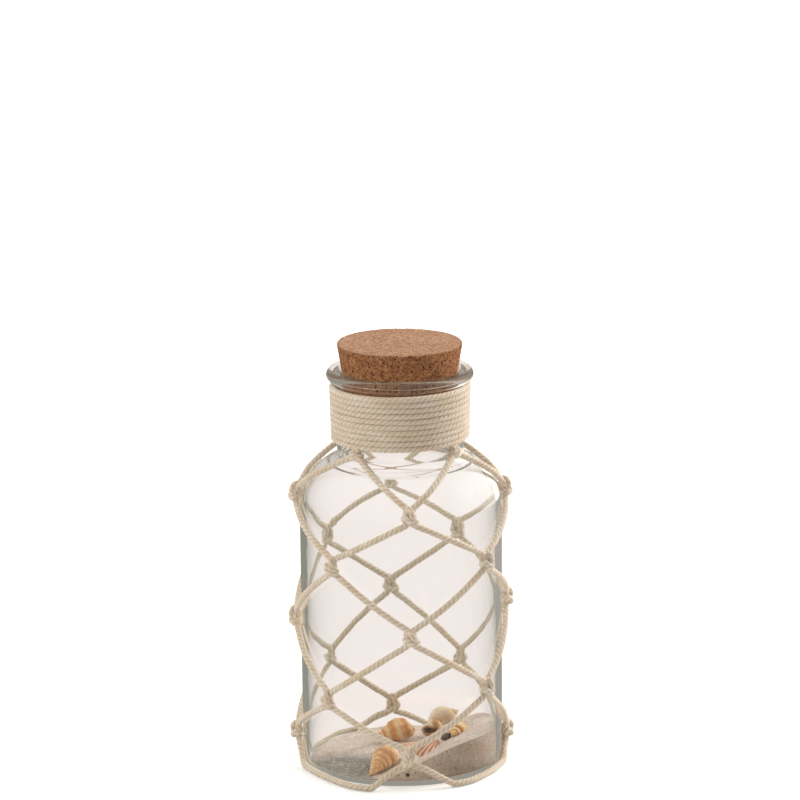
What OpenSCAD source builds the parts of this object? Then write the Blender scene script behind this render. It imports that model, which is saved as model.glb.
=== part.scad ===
// Clear glass bottle with a tapered cork, a cord-wound neck and a hand-knotted cord net.
// Sand is heaped inside on the right, with sea shells lying on it.
// Millimetres, +Z up, origin on the table under the middle of the bottle, the front faces -Y.
// A compass angle is counted from the front (-Y) towards the right (+X), seen from above.

/* [Glass bottle] */
// Outer diameter of the body where the shoulder begins
body_d = 101.6; // [98:0.2:108]
// How far the straight wall draws in from the shoulder down to the heel
wall_draft = 0.4; // [0:0.1:1.5]
// Height at which the straight wall turns into the shoulder
shoulder_h = 133.5; // [120:0.5:150]
// Radius of the rounded shoulder, measured outside
shoulder_r = 27; // [24:0.5:28]
// Clear diameter of the neck and mouth
mouth_d = 58.6; // [54:0.2:60]
// Wall thickness of the neck where it leaves the shoulder
neck_wall_t = 2.5; // [2:0.1:3.5]
// How much wider the neck is just under the lip
neck_flare = 1.4; // [0:0.1:2]
// Length of the neck between the shoulder's blend and the lip
neck_h = 34.8; // [34:0.2:46]
// Radius of the outer blend between shoulder and neck
neck_blend_r = 4; // [2:0.5:6]
// Width of the lip ring from the mouth outwards
lip_w = 7.6; // [6.6:0.1:9.6]
// Height of the lip ring
lip_h = 6.8; // [6:0.1:9]
// Edge radius of the lip ring, outside
lip_edge_r = 3; // [1.5:0.1:3]
// Edge radius of the mouth, inside
mouth_edge_r = 2; // [1:0.1:2.5]
// Wall thickness of body and shoulder
wall_t = 3; // [2:0.1:4]
// Thickness of the glass under the sand
floor_t = 3.2; // [2.6:0.1:6]
// Radius of the heel, outside
heel_r = 4; // [2:0.5:6]
// Radius of the corner between floor and wall, inside
inner_heel_r = 5; // [3:0.5:7]
// Depth of the hollow under the base
push_up_h = 1; // [0.4:0.1:1.6]
// Width of the flat ring that the bottle stands on
foot_w = 8; // [4:0.5:14]

/* [Cork] */
// Full height of the stopper
cork_h = 26; // [20:0.5:34]
// How far the stopper stands above the lip
cork_proud = 13.2; // [8:0.2:18]
// Taper of the stopper's side away from its axis, in degrees
cork_taper = 9.4; // [5:0.2:11]
// Clearance between the stopper and the mouth's edge
cork_gap = 0.2; // [0.1:0.05:0.4]
// Bevel on the stopper's two edges
cork_bevel = 0.6; // [0.2:0.1:1.5]

/* [Cord] */
// Thickness of the net cord
cord_d = 2.7; // [2:0.1:3]
// Thickness of the cord round the neck
wrap_cord_d = 2.4; // [2:0.05:2.4]
// Space between a cord and the glass under it
cord_gap = 0.3; // [0.2:0.05:0.5]
// Turns round the neck
wrap_turns = 10; // [6:1:11]
// Height gained in each turn round the neck
wrap_pitch = 2.82; // [2.81:0.01:2.95]
// Space between the top turn and the lip
wrap_lip_gap = 0.3; // [0.1:0.1:1]

/* [Net] */
// Height of the first row of knots above the start of the shoulder
top_row_rise = 6.5; // [2:0.5:9]
// Height of the lowest row of knots above the table
low_row_h = 16.5; // [15:0.5:26]
// Width of a knot across its face
knot_w = 8; // [7:0.2:9]
// Thickness of a knot away from the glass
knot_t = 5.8; // [5:0.1:7]
// Edge radius of a knot
knot_edge_r = 2.6; // [1:0.1:2.8]
// How much taller a knot is than it is wide
knot_stretch = 2; // [0:0.5:4]
// Width of a hitch under the neck cord
hitch_w = 7; // [6:0.2:8]
// Thickness of a hitch
hitch_t = 4.4; // [4:0.1:5]
// Edge radius of a hitch
hitch_edge_r = 2; // [1:0.1:2.1]
// Distance between the middles of two cords that lie side by side in a knot
pair_pitch = 3.4; // [3.4:0.1:3.8]
// How far the tips of the two lower loops beside the front knot lie from the axis
loop_reach = 60.3; // [57:0.1:66]

/* [Sand] */
// Depth of the sand on its shallow side, above the glass floor
sand_low = 0.8; // [0.6:0.1:2.5]
// Depth of the sand on its heaped side, above the glass floor
sand_high = 17.2; // [12:0.2:19]
// Space between the sand and the glass wall
sand_gap = 0.1; // [0.05:0.05:0.3]

/* [Shells] */
// Length of the long spiral shell whose point leans on the front glass
turret_l = 29; // [24:0.5:32]
// Width of the long spiral shell
turret_w = 10.4; // [8:0.2:12]
// Length of the thick-set whelk behind it
whelk_l = 18; // [15:0.5:21]
// Width of the whelk
whelk_w = 10.6; // [9:0.2:12]
// Width of the round cream snail at the back
cream_w = 14; // [12:0.2:16]
// Width of the small tan snail with its mouth to the front
tan_w = 9.4; // [8:0.2:11]
// Length of the yellow spiral shell on the right
yellow_l = 13; // [11:0.2:15]
// Width of the yellow spiral shell
yellow_w = 8.4; // [7:0.2:10]
// Width of the ribbed fan shell
fan_w = 19; // [16:0.5:22]
// Thickness of the ribbed fan shell
fan_t = 1.4; // [1:0.1:2]
// Length of the broken chip under the front knot
chip_l = 6.5; // [5:0.5:8]
// Width of the dark pebble among the shells
pebble_w = 4; // [3:0.2:5]

/* [Hidden] */
$fn = 96;

glass_color = [0.80, 0.86, 0.84, 0.35];
cork_color = [0.72, 0.55, 0.40];
cord_color = [0.80, 0.73, 0.62];
sand_color = [0.72, 0.65, 0.57];

body_r = body_d / 2;
base_r = body_r - wall_draft;
mouth_r = mouth_d / 2;
neck_r = mouth_r + neck_wall_t;
neck_top_r = neck_r + neck_flare / 2;
lip_r = mouth_r + lip_w;
inner_base_r = base_r - wall_t;
inner_body_r = body_r - wall_t;

// The shoulder is a quarter round whose centre lies at this distance from the axis
shoulder_x = body_r - shoulder_r;
neck_foot_h = blend_centre(shoulder_r, neck_blend_r, neck_r)[1];
lip_foot_h = neck_foot_h + neck_h;
bottle_h = lip_foot_h + lip_h;

cork_top_h = bottle_h + cork_proud;
cork_seat_h = bottle_h - mouth_edge_r;
cork_seat_r = mouth_r - cork_gap / cos(cork_taper);
cork_top_r = cork_seat_r + (cork_top_h - cork_seat_h) * tan(cork_taper);
cork_low_r = cork_top_r - cork_h * tan(cork_taper);

cord_r = cord_d / 2;
cord_lift = cord_r + cord_gap;
wrap_steps = 24;
wrap_r = wrap_cord_d / 2;
wrap_top_h = lip_foot_h - wrap_lip_gap - wrap_r;
wrap_low_h = wrap_top_h - wrap_turns * wrap_pitch;
cord_sides = 6;

// Compass angles of the eight columns of knots, as they are tied, a little uneven
column_angle = [5, 53, 97, 146, 186, 224, 272, 320];
top_row_h = shoulder_h + top_row_rise;
row_step = (top_row_h - low_row_h) / 4;
hitch_h = wrap_low_h - wrap_r - hitch_w / 4;
row_h = [hitch_h, top_row_h, top_row_h - row_step, top_row_h - 2 * row_step,
    top_row_h - 3 * row_step, low_row_h];
// How far each knot of a row sits above or below its row; four knots a row, one for each pair of columns
knot_offset = [
    [0, 0, 0, 0],
    [0, 3, -6, 2],
    [2, 0, 0, 3],
    [0, 5, 1, 0],
    [-1, -5, -2, -4],
    [3, -2, -2, 0]
];
// The two cords of a knot run upright this far above and below its middle
knot_reach = knot_w / 2 + knot_stretch / 4;
// Compass angles of the four loop tips that lie on the table
loop_angle = [27, 164.4, 207, 344.4];
// Reach of the smaller two loops
short_reach = loop_reach - 1.5;
heel_hug_r = base_r + cord_r + cord_gap / 2;
// Compass angle over which the far side of a loop lifts off the table to its knot
loop_lift = 14;

function blend_centre(round_r, blend_r, wall_r) =
    [wall_r + blend_r, shoulder_h + sqrt(pow(round_r + blend_r, 2) - pow(wall_r + blend_r - shoulder_x, 2))];

function mix(a, b, t) = a + (b - a) * t;
function ease(t) = let (u = max(0, min(1, t))) u * u * (3 - 2 * u);
function unit(v) = v / norm(v);
function at(angle, r, z) = [r * sin(angle), -r * cos(angle), z];

// Outer radius of the glass body below the shoulder
function wall_radius(z) = mix(base_r, body_r, (z - heel_r) / (shoulder_h - heel_r));

// The taut cord leaves the shoulder here and runs straight up to its hitch at the neck
hitch_r = neck_r + hitch_t / 2;
cord_round_r = shoulder_r + cord_lift;
hitch_dx = hitch_r - shoulder_x;
hitch_dz = hitch_h - shoulder_h;
leave_angle = atan2(hitch_dz, hitch_dx) - acos(cord_round_r / norm([hitch_dx, hitch_dz]));
leave_r = shoulder_x + cord_round_r * cos(leave_angle);
leave_h = shoulder_h + cord_round_r * sin(leave_angle);

// Places of the shells on the sand, as shares of the inner radius to the right and to the back
turret_at = [-0.21, -0.60];
whelk_at = [-0.04, 0.44];
cream_at = [0.46, 0.54];
tan_at = [0.31, 0.24];
yellow_at = [0.60, -0.06];
fan_at = [0.26, -0.38];
chip_at = [0.09, -0.84];
pebble_at = [0.45, -0.22];
// Thickness of the broken chip
chip_t = 1.2;

// Distance from the axis to the middle of a cord that lies on the glass at height z
function skin(z) =
    z <= shoulder_h ? wall_radius(z) + cord_lift
    : z <= leave_h ? shoulder_x + sqrt(pow(cord_round_r, 2) - pow(z - shoulder_h, 2))
    : mix(leave_r, hitch_r, (z - leave_h) / (hitch_h - leave_h));

// Tilt of the glass surface at height z, in degrees back from upright
function lean(z) = z <= shoulder_h ? 0 : asin((z - shoulder_h) / cord_round_r);

function column(c) = column_angle[(c + 8) % 8] + 360 * floor(c / 8);
function knot_z(row, c) = row_h[row] + knot_offset[row][floor(((c + 8) % 8) / 2)];

// Angle that a distance along the surface spans at height z
function span(length, z) = length / skin(z) * 180 / PI;

// Three points of a cord inside one knot, on the side given by side, from above to below
function in_knot(row, c, side) =
    let (z = knot_z(row, c), angle = column(c) + side * span(pair_pitch / 2, z))
    [for (dz = [knot_reach, 0, -knot_reach]) at(angle, skin(z + dz), z + dz)];

// Points of a cord on the glass between two knots, the ends left out
function between(row, c_top, side_top, c_low, side_low, steps) =
    let (
        z_top = knot_z(row, c_top) - (row == 0 ? 0 : knot_reach),
        z_low = knot_z(row + 1, c_low) + knot_reach,
        a_top = column(c_top) + side_top * span(pair_pitch / 2, z_top),
        a_low = column(c_low) + side_low * span(pair_pitch / 2, z_low)
    )
    [for (i = [1:steps - 1])
        let (t = i / steps, z = mix(z_top, z_low, t)) at(mix(a_top, a_low, t), skin(z), z)];

// One side of a net cord from the hitch in column h down to the lowest knot in column c
function strand(h, c) =
    let (s = c > h ? 1 : -1, z = knot_z(0, h))
    concat(
        [at(column(h) + s * span(pair_pitch / 2, z), hitch_r, z)],
        between(0, h, s, c, -s, 6), in_knot(1, c, -s),
        between(1, c, -s, h, s, 5), in_knot(2, h, s),
        between(2, h, s, c, -s, 5), in_knot(3, c, -s),
        between(3, c, -s, h, s, 5), in_knot(4, h, s),
        between(4, h, s, c, -s, 5), in_knot(5, c, -s)
    );

// The slack loop on the table: down from the near knot to its tip, then along the heel to the far knot
function table_loop(near, far, tip_angle, reach) =
    let (
        s = far > near ? 1 : -1,
        z_near = knot_z(5, near) - knot_reach,
        z_far = knot_z(5, far) - knot_reach,
        a_near = column(near) + s * span(pair_pitch / 2, z_near),
        a_far = column(far) - s * span(pair_pitch / 2, z_far),
        a_lift = a_far - s * loop_lift
    )
    concat(
        [for (t = [0.35, 0.7])
            at(mix(a_near, tip_angle, t), mix(skin(z_near), reach, t), mix(z_near, cord_r, ease(t)))],
        [at(tip_angle - s * 1.5, reach - 0.4, cord_r), at(tip_angle + s * 2, reach - 0.3, cord_r)],
        [for (t = [0.2, 0.45, 0.7, 1])
            at(mix(tip_angle, a_lift, t), mix(reach, heel_hug_r, ease(t * 1.15)), cord_r)],
        [at(mix(a_lift, a_far, 0.6), heel_hug_r, mix(cord_r, z_far, 0.45))]
    );

function reversed(list) = [for (i = [len(list) - 1:-1:0]) list[i]];

// Whole route of net cord k, from its hitch down one side, through its loop and up the other side
function net_route(k) =
    let (
        h = 2 * k - 1,
        s = k % 2 == 1 ? 1 : -1,
        reach = k % 2 == 1 ? short_reach : loop_reach,
        tip_angle = loop_angle[k - 1],
        near = h - s,
        far = h + s
    )
    concat(strand(h, near), table_loop(near, far, tip_angle, reach), reversed(strand(h, far)));

// A point of the neck cord, which starts and ends at the back
function wrap_point(i) =
    let (t = i / (wrap_turns * wrap_steps), z = mix(wrap_low_h, wrap_top_h, t))
    at(180 + i * 360 / wrap_steps, mix(neck_r, neck_top_r, t) + wrap_r + cord_gap, z);

// Route of the neck cord, with one straight cord thickness added at either end
wrap_route = let (
        last = wrap_turns * wrap_steps,
        a = wrap_point(0),
        b = wrap_point(last)
    )
    concat(
        [a + wrap_cord_d * unit(a - wrap_point(1))],
        [for (i = [0:last]) wrap_point(i)],
        [b + wrap_cord_d * unit(b - wrap_point(last - 1))]
    );

// Ring of points round place p of a cord, one side of which faces away from the bottle
function ring(p, along, r) =
    let (
        out = unit([p[0], p[1], 0]),
        n = unit(out - (out * along) * along),
        b = cross(along, n)
    )
    [for (j = [0:cord_sides - 1])
        let (q = (j + 0.5) * 360 / cord_sides) p + r * (cos(q) * n + sin(q) * b)];

function heading(path, i) =
    i == 0 ? unit(path[1] - path[0])
    : i == len(path) - 1 ? unit(path[i] - path[i - 1])
    : unit(unit(path[i + 1] - path[i]) + unit(path[i] - path[i - 1]));

// Least space between two stretches of one cord that are more than skip points apart
function self_gap(path, d, skip) =
    min([for (i = [0:len(path) - 1 - skip]) for (j = [i + skip:len(path) - 1]) norm(path[i] - path[j])]) - d;

module cord(path, d) {
    rings = [for (i = [0:len(path) - 1]) ring(path[i], heading(path, i), d / 2)];
    last = len(path) - 1;
    n = cord_sides;
    sides = [for (i = [0:last - 1]) for (j = [0:n - 1])
        let (a = i * n + j, b = i * n + (j + 1) % n) each [[a, b, b + n], [a, b + n, a + n]]];
    start_cap = [for (j = [1:n - 2]) [0, j + 1, j]];
    end_cap = [for (j = [1:n - 2]) [last * n, last * n + j, last * n + j + 1]];
    points = [for (r = rings) each r];
    polyhedron(points, concat(sides, start_cap, end_cap));
}

// Half outline of the solid that the outside of the glass bounds
module glass_outside() {
    blend = blend_centre(shoulder_r, neck_blend_r, neck_r);
    touch = [shoulder_x, shoulder_h]
        + shoulder_r / (shoulder_r + neck_blend_r) * (blend - [shoulder_x, shoulder_h]);
    polygon([[0, 0], [base_r - heel_r, 0], [base_r - heel_r, heel_r], [base_r, heel_r],
        [body_r, shoulder_h], [0, shoulder_h]]);
    translate([base_r - heel_r, heel_r]) circle(heel_r);
    intersection() {
        translate([shoulder_x, shoulder_h]) circle(shoulder_r);
        square([body_r, shoulder_h + shoulder_r]);
    }
    difference() {
        polygon([[0, shoulder_h], touch, blend, [neck_r, blend[1]], [0, blend[1]]]);
        translate(blend) circle(neck_blend_r);
    }
    polygon([[0, shoulder_h], [neck_r, shoulder_h], [neck_r, neck_foot_h], [neck_top_r, lip_foot_h],
        [neck_top_r, bottle_h - lip_h / 2], [0, bottle_h - lip_h / 2]]);
    lip_outside();
}

module lip_outside() {
    x = lip_r - lip_edge_r;
    translate([0, lip_foot_h]) square([x, lip_h]);
    translate([0, lip_foot_h + lip_edge_r]) square([lip_r, lip_h - 2 * lip_edge_r]);
    translate([x, lip_foot_h + lip_edge_r]) circle(lip_edge_r);
    translate([x, bottle_h - lip_edge_r]) circle(lip_edge_r);
}

// Half outline of the hollow inside, open at the mouth
module glass_inside() {
    x = inner_base_r - inner_heel_r;
    round_r = shoulder_r - wall_t;
    blend_r = neck_blend_r + wall_t;
    blend = blend_centre(round_r, blend_r, mouth_r);
    touch = [shoulder_x, shoulder_h]
        + round_r / (round_r + blend_r) * (blend - [shoulder_x, shoulder_h]);
    polygon([[0, floor_t], [x, floor_t], [x, floor_t + inner_heel_r],
        [inner_base_r, floor_t + inner_heel_r], [inner_body_r, shoulder_h], [0, shoulder_h]]);
    translate([x, floor_t + inner_heel_r]) circle(inner_heel_r);
    intersection() {
        translate([shoulder_x, shoulder_h]) circle(round_r);
        square([inner_body_r, shoulder_h + round_r]);
    }
    difference() {
        polygon([[0, shoulder_h], touch, blend, [mouth_r, blend[1]], [0, blend[1]]]);
        translate(blend) circle(blend_r);
    }
    translate([0, shoulder_h]) square([mouth_r, bottle_h - shoulder_h + 1]);
    difference() {
        translate([0, bottle_h - mouth_edge_r]) square([mouth_r + mouth_edge_r, mouth_edge_r + 1]);
        translate([mouth_r + mouth_edge_r, bottle_h - mouth_edge_r]) circle(mouth_edge_r);
    }
}

// Shallow dome under the base, so that the bottle stands on a ring
module push_up() {
    rim_r = base_r - heel_r - foot_w;
    dome_r = (rim_r * rim_r + push_up_h * push_up_h) / (2 * push_up_h);
    translate([0, 0, push_up_h - dome_r]) sphere(dome_r, $fn = 360);
}

module glass_bottle() {
    color(glass_color)
    difference() {
        rotate_extrude()
        difference() {
            glass_outside();
            glass_inside();
        }
        push_up();
    }
}

module cork_stopper() {
    slope = tan(cork_taper);
    color(cork_color)
    translate([0, 0, cork_top_h - cork_h])
    rotate_extrude()
    polygon([
        [0, 0],
        [cork_low_r - cork_bevel, 0],
        [cork_low_r + cork_bevel * slope, cork_bevel],
        [cork_top_r - cork_bevel * slope, cork_h - cork_bevel],
        [cork_top_r - cork_bevel, cork_h],
        [0, cork_h]
    ]);
}

module neck_wrap() {
    echo(neck_wrap_gap = self_gap(wrap_route, wrap_cord_d, wrap_steps - 3));
    color(cord_color) cord(wrap_route, wrap_cord_d);
}

module net_cord(k) {
    route = net_route(k);
    echo(net_cord = k, points = len(route), gap = self_gap(route, cord_d, 4));
    color(cord_color) cord(route, cord_d);
}

// A round-edged button whose flat back lies on the plane z = 0
module button(w, t, edge_r) {
    x = w / 2 - edge_r;
    rotate_extrude($fn = 48)
    intersection() {
        square([w / 2, t]);
        union() {
            square([x, t]);
            translate([0, edge_r]) square([w / 2, t - 2 * edge_r]);
            translate([x, edge_r]) circle(edge_r);
            translate([x, t - edge_r]) circle(edge_r);
        }
    }
}

// Places its children at a compass angle, with their +Z pointing away from the glass
module on_glass(angle, r, z, tilt) {
    rotate([0, 0, angle])
    translate([0, -r, z])
    rotate([90 - tilt, 0, 0])
    children();
}

module knot(row, c) {
    z = knot_z(row, c);
    tilt = lean(z);
    on_glass(column(c), skin(z), z, tilt)
    translate([0, 0, -cord_r - cord_gap / 2])
    for (dy = [-1, 1] * knot_stretch / 2)
        translate([0, dy, 0]) button(knot_w, knot_t, knot_edge_r);
}

// The four knots of one row, in every second column
module knot_row(row) {
    color(cord_color)
    for (i = [0:3]) knot(row, 2 * i + (row + 1) % 2);
}

module neck_hitches() {
    color(cord_color)
    for (i = [0:3]) {
        on_glass(column(2 * i + 1), neck_r + cord_gap / 2, hitch_h, 0)
        button(hitch_w, hitch_t, hitch_edge_r);
    }
}

// Height of the sand's surface at x, y: heaped to the right and a little to the front
function sand_surface(x, y) =
    let (q = (x - 0.3 * y) / inner_base_r)
    floor_t + mix(sand_low, sand_high, ease((q + 0.04) / 1.04));

sand_r = inner_base_r - sand_gap;
sand_corner_r = inner_heel_r - sand_gap;

// Where the sand's surface meets the glass at a compass angle: on the wall, or on the corner's round
function sand_edge(angle) =
    let (
        rim = at(angle, sand_r, 0),
        depth = sand_surface(rim[0], rim[1]) - floor_t,
        rise = max(0, sand_corner_r - depth)
    )
    sand_r - sand_corner_r + sqrt(pow(sand_corner_r, 2) - pow(rise, 2));

// One upright slice of the sand from its bottom to the middle of its surface
function sand_slice(angle) =
    let (
        edge = sand_edge(angle),
        flat_r = sand_r - sand_corner_r,
        turn = asin(min(1, (edge - flat_r) / sand_corner_r)),
        corner = [for (i = [0:3]) let (q = turn * i / 3)
            at(angle, flat_r + sand_corner_r * sin(q), floor_t + sand_corner_r * (1 - cos(q)))],
        surface = [for (f = [1, 0.88, 0.72, 0.54, 0.36, 0.18])
            let (p = at(angle, edge * f, 0)) [p[0], p[1], max(sand_surface(p[0], p[1]),
                f == 1 ? corner[3][2] + 0.05 : 0)]]
    )
    concat(corner, surface);

module sand_bed() {
    slices = 40;
    grid = [for (i = [0:slices - 1]) sand_slice(i * 360 / slices)];
    m = len(grid[0]);
    bottom = slices * m;
    top = bottom + 1;
    points = concat([for (s = grid) each s], [[0, 0, floor_t], [0, 0, sand_surface(0, 0)]]);
    skin_faces = [for (i = [0:slices - 1]) for (j = [0:m - 2])
        let (a = i * m + j, b = ((i + 1) % slices) * m + j)
        each [[a, a + 1, b + 1], [a, b + 1, b]]];
    bottom_faces = [for (i = [0:slices - 1]) [bottom, i * m, ((i + 1) % slices) * m]];
    top_faces = [for (i = [0:slices - 1]) [top, ((i + 1) % slices) * m + m - 1, i * m + m - 1]];
    color(sand_color) polyhedron(points, concat(skin_faces, bottom_faces, top_faces));
}

// A place on the sand, given as shares of the inner radius, raised by lift
function on_sand(shares, lift) =
    let (p = shares * inner_base_r) [p[0], p[1], sand_surface(p[0], p[1]) + lift];

// A spiral shell along +Z with its point at the origin and stacked whorls
module spiral_shell(l, w, whorls) {
    rotate_extrude($fn = 48)
    intersection() {
        square([w, l]);
        union() {
            polygon([[0, 0], [w * 0.4, l * 0.72], [w * 0.4, l * 0.88], [w * 0.2, l], [0, l]]);
            for (i = [1:whorls]) {
                t = i / whorls;
                r = w / 2 * pow(t, 1.15);
                translate([r * 0.62, l * (0.1 + 0.7 * t) - r * 0.3]) circle(max(0.4, r * 0.38), $fn = 32);
            }
        }
    }
}

// A round snail shell standing on the plane z = 0, with a low spire on top
module snail_shell(w) {
    rotate_extrude($fn = 48)
    intersection() {
        square([w, w]);
        union() {
            translate([w * 0.2, w * 0.3]) circle(w * 0.3);
            square([w * 0.3, w * 0.5]);
            translate([0, w * 0.52]) circle(w * 0.2);
        }
    }
}

// Lays a shell down: heading is the compass angle that its wide end points to, rise is its tilt up
module lay_down(place, heading_angle, rise, l) {
    translate(place)
    rotate([0, 0, heading_angle])
    rotate([90 - rise, 0, 0])
    translate([0, 0, -l / 2])
    children();
}

module turret_shell() {
    color([0.80, 0.58, 0.36])
    lay_down(on_sand(turret_at, turret_w * 0.30), 161, 9, turret_l)
    spiral_shell(turret_l, turret_w, 6);
}

module whelk_shell() {
    color([0.83, 0.56, 0.36])
    lay_down(on_sand(whelk_at, whelk_w * 0.42), 82, 2, whelk_l)
    spiral_shell(whelk_l, whelk_w, 4);
}

module cream_snail_shell() {
    color([0.88, 0.80, 0.68])
    translate(on_sand(cream_at, -0.8))
    rotate([16, 24, 0])
    snail_shell(cream_w);
}

module tan_snail_shell() {
    color([0.76, 0.60, 0.40])
    translate(on_sand(tan_at, tan_w * 0.35))
    rotate([62, 0, 14])
    snail_shell(tan_w);
}

module yellow_spiral_shell() {
    color([0.86, 0.66, 0.38])
    lay_down(on_sand(yellow_at, yellow_w * 0.24), 58, -8, yellow_l)
    spiral_shell(yellow_l, yellow_w, 4);
}

module ribbed_fan_shell() {
    bowl_r = fan_w * 0.62;
    color([0.66, 0.44, 0.34])
    translate(on_sand(fan_at, 0.4))
    rotate([8, -20, 0])
    difference() {
        intersection() {
            translate([0, 0, -bowl_r * 0.62]) sphere(bowl_r);
            translate([-fan_w / 2, -fan_w * 0.42, 0]) cube([fan_w, fan_w * 0.84, bowl_r]);
        }
        translate([0, 0, -bowl_r * 0.62]) sphere(bowl_r - fan_t);
    }
}

module shell_chip() {
    color([0.85, 0.55, 0.35])
    translate(on_sand(chip_at, 0.1))
    rotate([10, -14, 0])
    linear_extrude(chip_t)
    intersection() {
        circle(chip_l / 2);
        translate([-chip_l / 2, -chip_l / 4]) square([chip_l, chip_l / 2]);
    }
}

module dark_pebble() {
    color([0.28, 0.24, 0.22])
    translate(on_sand(pebble_at, pebble_w * 0.3))
    sphere(pebble_w / 2, $fn = 32);
}

glass_bottle();
cork_stopper();
neck_wrap();
net_cord(1);  // net_cord_1
net_cord(2);  // net_cord_2
net_cord(3);  // net_cord_3
net_cord(4);  // net_cord_4
neck_hitches();
knot_row(1);  // knots_row_1
knot_row(2);  // knots_row_2
knot_row(3);  // knots_row_3
knot_row(4);  // knots_row_4
knot_row(5);  // knots_row_5
sand_bed();
turret_shell();
whelk_shell();
cream_snail_shell();
tan_snail_shell();
yellow_spiral_shell();
ribbed_fan_shell();
shell_chip();
dark_pebble();
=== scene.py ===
# %% [markdown]
# # A corked glass bottle in a hand-knotted cord net
# The bottle's construction is already finished: it comes in as a fixed frame, in metres, with the table at
# height zero and the front towards -Y. This lesson dresses that frame. Every cell makes one piece or one
# finish, so that each can be read and changed alone.

import math

import bpy
import numpy as np
from mathutils import Matrix, Vector, noise


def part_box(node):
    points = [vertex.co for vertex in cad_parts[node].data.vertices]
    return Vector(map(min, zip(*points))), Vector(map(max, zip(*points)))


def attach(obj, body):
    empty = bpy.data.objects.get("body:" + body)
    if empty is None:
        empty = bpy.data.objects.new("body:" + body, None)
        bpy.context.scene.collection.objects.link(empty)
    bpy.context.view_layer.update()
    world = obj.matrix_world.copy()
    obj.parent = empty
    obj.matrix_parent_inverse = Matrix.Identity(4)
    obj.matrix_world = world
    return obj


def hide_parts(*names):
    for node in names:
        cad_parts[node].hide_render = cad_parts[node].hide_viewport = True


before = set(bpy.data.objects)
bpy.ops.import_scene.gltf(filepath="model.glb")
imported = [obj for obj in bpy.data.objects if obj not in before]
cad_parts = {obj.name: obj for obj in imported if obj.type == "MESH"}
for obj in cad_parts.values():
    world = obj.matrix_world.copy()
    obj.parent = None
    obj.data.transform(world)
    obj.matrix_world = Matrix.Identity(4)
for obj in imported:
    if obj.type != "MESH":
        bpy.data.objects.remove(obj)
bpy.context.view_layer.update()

# %% [markdown]
# ## Sizes
# All shapes below are worked out in millimetres, because that is how glass, cord and cork are sold, and
# turned into metres in one place. What the frame can tell is read from it. The rest repeats the sizes that
# the construction uses.

# %% Sizes of the glass and the cork
MM = 0.001


def box_mm(node):
    low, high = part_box(node)
    return np.array(low) / MM, np.array(high) / MM


BODY_R = box_mm("glass_bottle")[1][0]
BOTTLE_H = box_mm("glass_bottle")[1][2]
CORK_LOW_H, CORK_TOP_H = box_mm("cork_stopper")[0][2], box_mm("cork_stopper")[1][2]
CORK_TOP_R = box_mm("cork_stopper")[1][0]
CORK_TAPER = math.radians(9.4)
WALL_DRAFT = 0.4
BASE_R = BODY_R - WALL_DRAFT
SHOULDER_H = 133.5
SHOULDER_R = 27.0
MOUTH_R = 29.3
NECK_R = 31.8
NECK_TOP_R = 32.5
NECK_BLEND_R = 4.0
INNER_BLEND_R = 11.0
LIP_R = 36.9
LIP_H = 5.8
LIP_EDGE_R = 3.0
MOUTH_EDGE_R = 2.0
WALL_T = 3.0
FLOOR_T = 1.8
HEEL_R = 4.0
INNER_HEEL_R = 2.4
PUSH_UP_H = 0.6
FOOT_W = 8.0
SHOULDER_X = BODY_R - SHOULDER_R
LIP_FOOT_H = BOTTLE_H - LIP_H
INNER_BASE_R = BASE_R - WALL_T
print(f"bottle {BOTTLE_H:.1f} mm tall, {2 * BODY_R:.1f} mm wide, cork {2 * CORK_TOP_R:.1f} mm")

# %% [markdown]
# ## Camera
# The picture to match was taken from about three metres with a long lens, a little above the bottle. A long
# lens keeps the two sides of the bottle parallel. The camera is aimed at a point on the bottle's axis and
# rolled by half a degree, as a tripod that stands a trace off level.

# %% Camera
CAMERA_DISTANCE = 3.0
CAMERA_PITCH = math.radians(13.4)
CAMERA_ROLL = math.radians(-0.44)
TARGET = Vector((0, 0, 0.1871))

camera = bpy.data.objects.new("camera", bpy.data.cameras.new("camera"))
camera.data.lens = 270
camera.data.sensor_width = 36
camera.data.clip_end = 40
back = Vector((0, -math.cos(CAMERA_PITCH), math.sin(CAMERA_PITCH)))
camera.matrix_world = (
    Matrix.Translation(TARGET + back * CAMERA_DISTANCE)
    @ (-back).to_track_quat("-Z", "Y").to_matrix().to_4x4()
    @ Matrix.Rotation(CAMERA_ROLL, 4, "Z")
)
bpy.context.scene.collection.objects.link(camera)
bpy.context.scene.camera = camera
bpy.context.scene.view_settings.view_transform = "Standard"
print("camera at", tuple(round(x, 3) for x in camera.location))

# %% [markdown]
# ## Tools for materials
# Colours are written as the hex values that a paint chart or a picture editor shows. Those are sRGB, while
# the shaders mix light, so one function turns them linear. A second one adds a node with its settings and
# links, which keeps each material to a few lines.


# %% Colour and node helpers
def colour(text):
    parts = [int(text[i : i + 2], 16) / 255 for i in (1, 3, 5)]
    linear = [c / 12.92 if c <= 0.04045 else ((c + 0.055) / 1.055) ** 2.4 for c in parts]
    return (*linear, 1)


def add(tree, kind, inputs=None, **settings):
    """Adds a node. inputs gives a value, or another node's output, for each input by name or number."""
    node = tree.nodes.new(kind)
    for name, value in settings.items():
        setattr(node, name, value)
    for key, value in (inputs or {}).items():
        if isinstance(value, bpy.types.NodeSocket):
            tree.links.new(value, node.inputs[key])
        else:
            node.inputs[key].default_value = value
    return node


def ramp(tree, factor, stops):
    """A colour ramp through (place, hex colour) stops."""
    node = add(tree, "ShaderNodeValToRGB", {0: factor})
    points = node.color_ramp.elements
    while len(points) < len(stops):
        points.new(0.5)
    for point, (place, text) in zip(points, stops):
        point.position = place
        point.color = colour(text)
    return node.outputs["Color"]


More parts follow.
